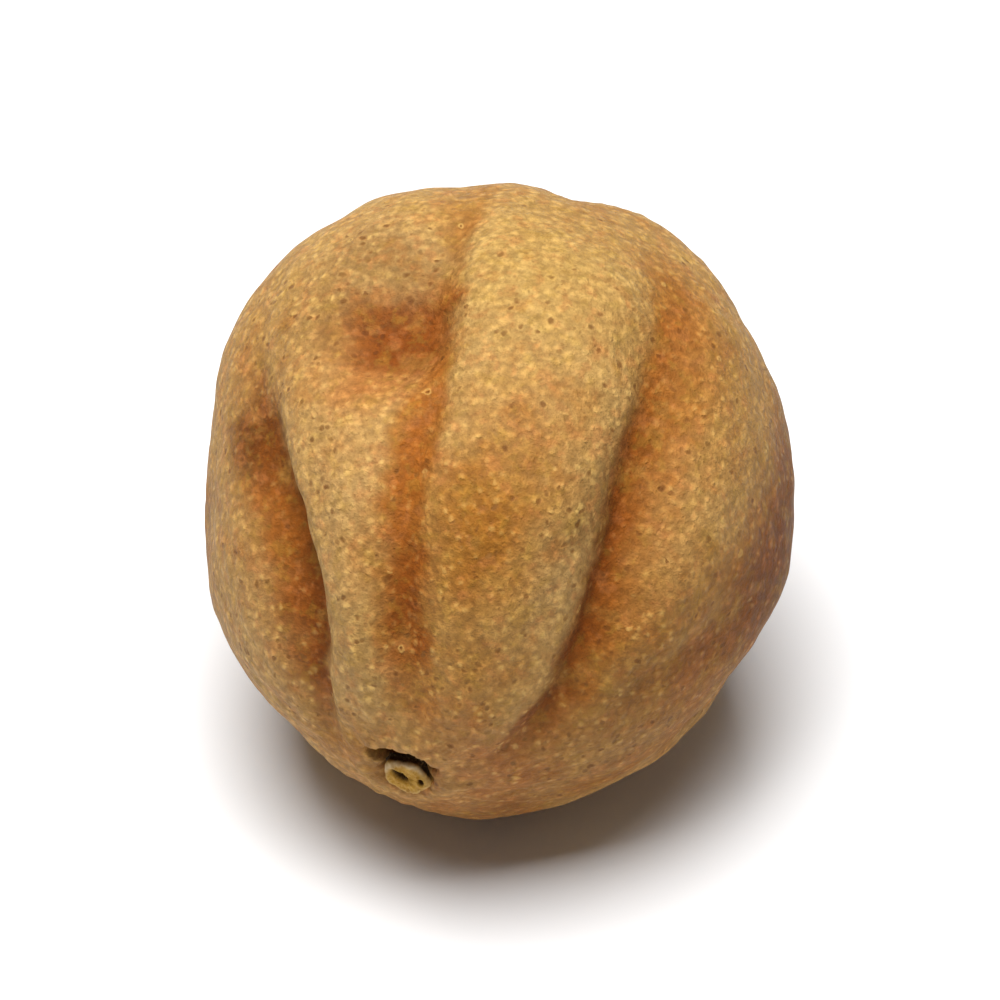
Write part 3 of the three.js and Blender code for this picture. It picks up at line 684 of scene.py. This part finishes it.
def rind_material():
    g = Graph("dried_rind")
    place = g.place()
    cavity, pores, waxy = g.attribute("cavity"), g.attribute("pores"), g.attribute("waxy")
    tint = g.attribute("tint", colour=True)

    # wander, so that no pattern runs straight
    _, wander = g.noise(place, 1.1, 3.0)
    offset = g.vector("SUBTRACT", wander, (0.5, 0.5, 0.5))
    warped = g.vector("ADD", place, g.vector("SCALE", offset, scale=0.7))

    gland, gland_random = g.cells(warped, 1.7, 1.0)           # oil glands about 0.6 mm apart
    r1, r2, r3 = g.split(gland_random)
    speck, speck_random = g.cells(warped, 3.6, 1.0)           # finer grain between them
    s1, s2, s3 = g.split(speck_random)

    patches, _ = g.noise(place, 0.55, 4.0, 0.6, 5)
    fine, _ = g.noise(place, 2.1, 5.0, 0.65, 13)
    dust, _ = g.noise(place, 7.0, 3.0, 0.6, 3)

    # middle and fine variation in hue and lightness
    hue, _ = g.noise(place, 0.85, 3.0, 0.6, 27)
    colour = g.mix(g.smooth(patches, 0.50, 0.70, 0.0, 0.30), tint, srgb(164, 91, 25))
    colour = g.mix(g.smooth(patches, 0.50, 0.32, 0.0, 0.26), colour, srgb(193, 149, 72))
    colour = g.mix(g.mul(g.smooth(hue, 0.53, 0.67), 0.30), colour, srgb(192, 120, 66))
    colour = g.mix(g.mul(g.smooth(hue, 0.46, 0.33), 0.26), colour, srgb(162, 127, 46))
    body = colour
    colour = g.mix(1.0, colour, g.smooth(fine, 0.32, 0.68, 0.77, 1.23), "MULTIPLY")
    colour = g.mix(1.0, colour, g.smooth(dust, 0.30, 0.70, 0.93, 1.07), "MULTIPLY")

    # oil glands: paler waxy dots with darker seams between them
    dot = g.smooth(gland, 0.42, 0.08)
    seam = g.smooth(gland, 0.34, 0.70)
    pale = g.mul(g.mul(dot, g.smooth(r1, 0.1, 0.9, 0.2, 1.0)), g.add(0.18, g.mul(waxy, 0.42)))
    light = g.mix(g.add(0.15, g.mul(waxy, 0.45)), body, srgb(226, 186, 106))
    colour = g.mix(pale, colour, g.vector("SCALE", light, scale=1.22))
    colour = g.mix(g.mul(seam, 0.34), colour, g.mix(0.5, srgb(108, 62, 15), g.vector("SCALE", body, scale=0.55)))
    colour = g.mix(g.mul(g.smooth(speck, 0.30, 0.05), g.mul(s1, 0.16)), colour, g.vector("SCALE", body, scale=1.35))
    colour = g.mix(g.mul(g.smooth(speck, 0.34, 0.05), g.smooth(s2, 0.70, 0.9, 0.0, 0.36)), colour, srgb(108, 60, 14))

    # pores: some glands have dried to a dark pit, and a very few keep a pale ring
    rank = g.add(r2, g.mul(g.sub(pores, 0.5), 0.44))
    pit = g.mul(g.smooth(gland, 0.50, 0.14), g.smooth(rank, 0.64, 0.90))
    ringed = g.smooth(r2, 0.008, 0.006)
    ring = g.mul(g.mul(g.smooth(gland, 0.14, 0.24), g.smooth(gland, 0.44, 0.32)), ringed)
    core = g.mul(g.smooth(gland, 0.17, 0.08), ringed)
    colour = g.mix(g.mul(pit, 0.72), colour, srgb(92, 46, 7))
    colour = g.mix(g.mul(ring, 0.35), colour, srgb(220, 178, 99))
    colour = g.mix(g.mul(core, 0.6), colour, srgb(103, 60, 20))

    # a few larger brown blemishes
    wide_cell, wide_random = g.cells(g.vector("ADD", place, g.vector("SCALE", offset, scale=1.8)), 0.26, 1.0)
    w1, w2, w3 = g.split(wide_random)
    blemish = g.mul(g.smooth(wide_cell, 0.16, 0.06), g.smooth(w1, 0.70, 0.74))
    colour = g.mix(g.mul(blemish, 0.35), colour, srgb(99, 56, 20))

    # darker brown in the folds, in patches
    colour = g.mix(g.mul(cavity, g.smooth(fine, 0.42, 0.74, 0.0, 0.28)), colour, srgb(95, 48, 15))
    g.put(colour, g.shader.inputs["Base Color"])

    rough = g.add(g.smooth(fine, 0.3, 0.7, 0.52, 0.66), g.mul(cavity, 0.10))
    rough = g.sub(rough, g.mul(dot, 0.07))
    g.put(rough, g.shader.inputs["Roughness"])
    g.shader.inputs["Specular IOR Level"].default_value = 0.11
    g.shader.inputs["Sheen Weight"].default_value = 0.015
    g.shader.inputs["Sheen Roughness"].default_value = 0.5
    g.shader.inputs["Sheen Tint"].default_value = (1.0, 0.85, 0.6, 1)

    dome = g.mul(g.smooth(gland, 0.60, 0.08), g.add(0.45, g.mul(r3, 0.55)))
    height = g.add(dome, g.mul(g.smooth(speck, 0.5, 0.05), 0.30))
    height = g.sub(height, g.add(g.mul(pit, 1.0), g.mul(core, 0.7)))
    height = g.add(height, g.mul(dust, 0.25))
    coarse = g.bump(fine, 0.16)
    g.put(g.bump(height, 0.055, coarse), g.shader.inputs["Normal"])
    return g.material


def button_material():
    g = Graph("woody_stem")
    place = g.place()
    pit, height = g.attribute("pit"), g.attribute("height")
    fibre, _ = g.noise(g.vector("MULTIPLY", place, (1.0, 0.35, 1.0)), 3.4, 5.0, 0.65, 4)
    lumps, _ = g.noise(place, 1.5, 4.0, 0.6, 8)
    dust, _ = g.noise(place, 9.0, 3.0, 0.6, 2)
    colour = g.mix(g.smooth(lumps, 0.35, 0.68), srgb(172, 124, 34), srgb(196, 152, 62))
    colour = g.mix(g.smooth(fibre, 0.52, 0.72, 0.0, 0.6), colour, srgb(122, 78, 24))
    # painted shade: the button's sides and foot, down in the stem hollow, painted darker brown below the rim
    colour = g.mix(g.smooth(height, 0.85, 0.15, 0.0, 0.75), colour, srgb(96, 58, 28))
    colour = g.mix(g.smooth(pit, 0.12, 0.60, 0.0, 0.95), colour, srgb(58, 32, 6))
    # pale rim, with a painted highlight on its upper side
    colour = g.mix(g.mul(g.attribute("rim"), g.smooth(lumps, 0.35, 0.60, 0.45, 0.90)), colour, srgb(204, 182, 146))
    # painted shade: the button's upper side wall in the gap under the lip, painted near-black
    colour = g.mix(g.mul(g.attribute("gap_shade"), 0.94), colour, srgb(30, 16, 7))
    colour = g.mix(g.smooth(dust, 0.5, 0.75, 0.0, 0.22), colour, srgb(224, 196, 128))
    g.put(colour, g.shader.inputs["Base Color"])
    g.put(g.smooth(fibre, 0.3, 0.7, 0.62, 0.85), g.shader.inputs["Roughness"])
    g.shader.inputs["Specular IOR Level"].default_value = 0.3
    g.put(g.bump(g.add(g.mul(fibre, 0.8), g.mul(dust, 0.4)), 0.07), g.shader.inputs["Normal"])
    return g.material


rind.data.materials.append(rind_material())
button.data.materials.append(button_material())

# ---------------------------------------------------------------- floor, light and camera
floor_mesh = bpy.data.meshes.new("floor")
floor_mesh.from_pydata([(-0.8, -0.8, 0), (0.8, -0.8, 0), (0.8, 0.8, 0), (-0.8, 0.8, 0)], [], [(0, 1, 2, 3)])
floor = bpy.data.objects.new("floor", floor_mesh)
floor.location.z = -0.00002
bpy.context.scene.collection.objects.link(floor)
g = Graph("pale_floor")
g.shader.inputs["Base Color"].default_value = (0.86, 0.86, 0.865, 1)
g.shader.inputs["Roughness"].default_value = 0.6
g.shader.inputs["Specular IOR Level"].default_value = 0.2
floor_mesh.materials.append(g.material)

AZIMUTH, ELEVATION, DISTANCE = 18 * RAD, 45 * RAD, 0.400
target = Vector([float(x) * MM for x in CENTRE])
back = Vector((math.sin(AZIMUTH) * math.cos(ELEVATION), -math.cos(AZIMUTH) * math.cos(ELEVATION), math.sin(ELEVATION)))
camera = bpy.data.objects.new("camera", bpy.data.cameras.new("camera"))
camera.data.sensor_width = 36
camera.data.lens = 240
camera.data.clip_start = 0.01
camera.location = target + back * DISTANCE
camera.rotation_euler = back.to_track_quat("Z", "Y").to_euler()
bpy.context.scene.collection.objects.link(camera)
bpy.context.scene.camera = camera


def area(name, x, y, z, size, watts, aim=(0, 0, 0.015), colour=(1, 1, 1)):
    """A square soft light. x is to the camera's right and y is away from it."""
    o = bpy.data.objects.new(name, bpy.data.lights.new(name, "AREA"))
    o.data.shape, o.data.size, o.data.energy, o.data.color = "SQUARE", size, watts, colour
    right, away = Vector((math.cos(AZIMUTH), math.sin(AZIMUTH), 0)), Vector((-math.sin(AZIMUTH), math.cos(AZIMUTH), 0))
    o.location = right * x + away * y + Vector((0, 0, z))
    o.rotation_euler = (o.location - Vector(aim)).to_track_quat("Z", "Y").to_euler()
    bpy.context.scene.collection.objects.link(o)
    return o


area("softbox", -0.06, -0.015, 0.75, 0.50, 9.6)

world_shade = bpy.data.worlds.new("world")
world_shade.use_nodes = True
world_shade.node_tree.nodes["Background"].inputs[0].default_value = (1.0, 1.0, 1.0, 1)
# the backdrop past the floor's edge is pale, and gives only a little light
backdrop = world_shade.node_tree.nodes.new("ShaderNodeMapRange")
seen = world_shade.node_tree.nodes.new("ShaderNodeLightPath")
world_shade.node_tree.links.new(seen.outputs["Is Camera Ray"], backdrop.inputs["Value"])
backdrop.inputs["To Min"].default_value, backdrop.inputs["To Max"].default_value = 0.10, 0.42
world_shade.node_tree.links.new(backdrop.outputs[0], world_shade.node_tree.nodes["Background"].inputs[1])
bpy.context.scene.world = world_shade
bpy.context.scene.view_settings.view_transform = "Standard"
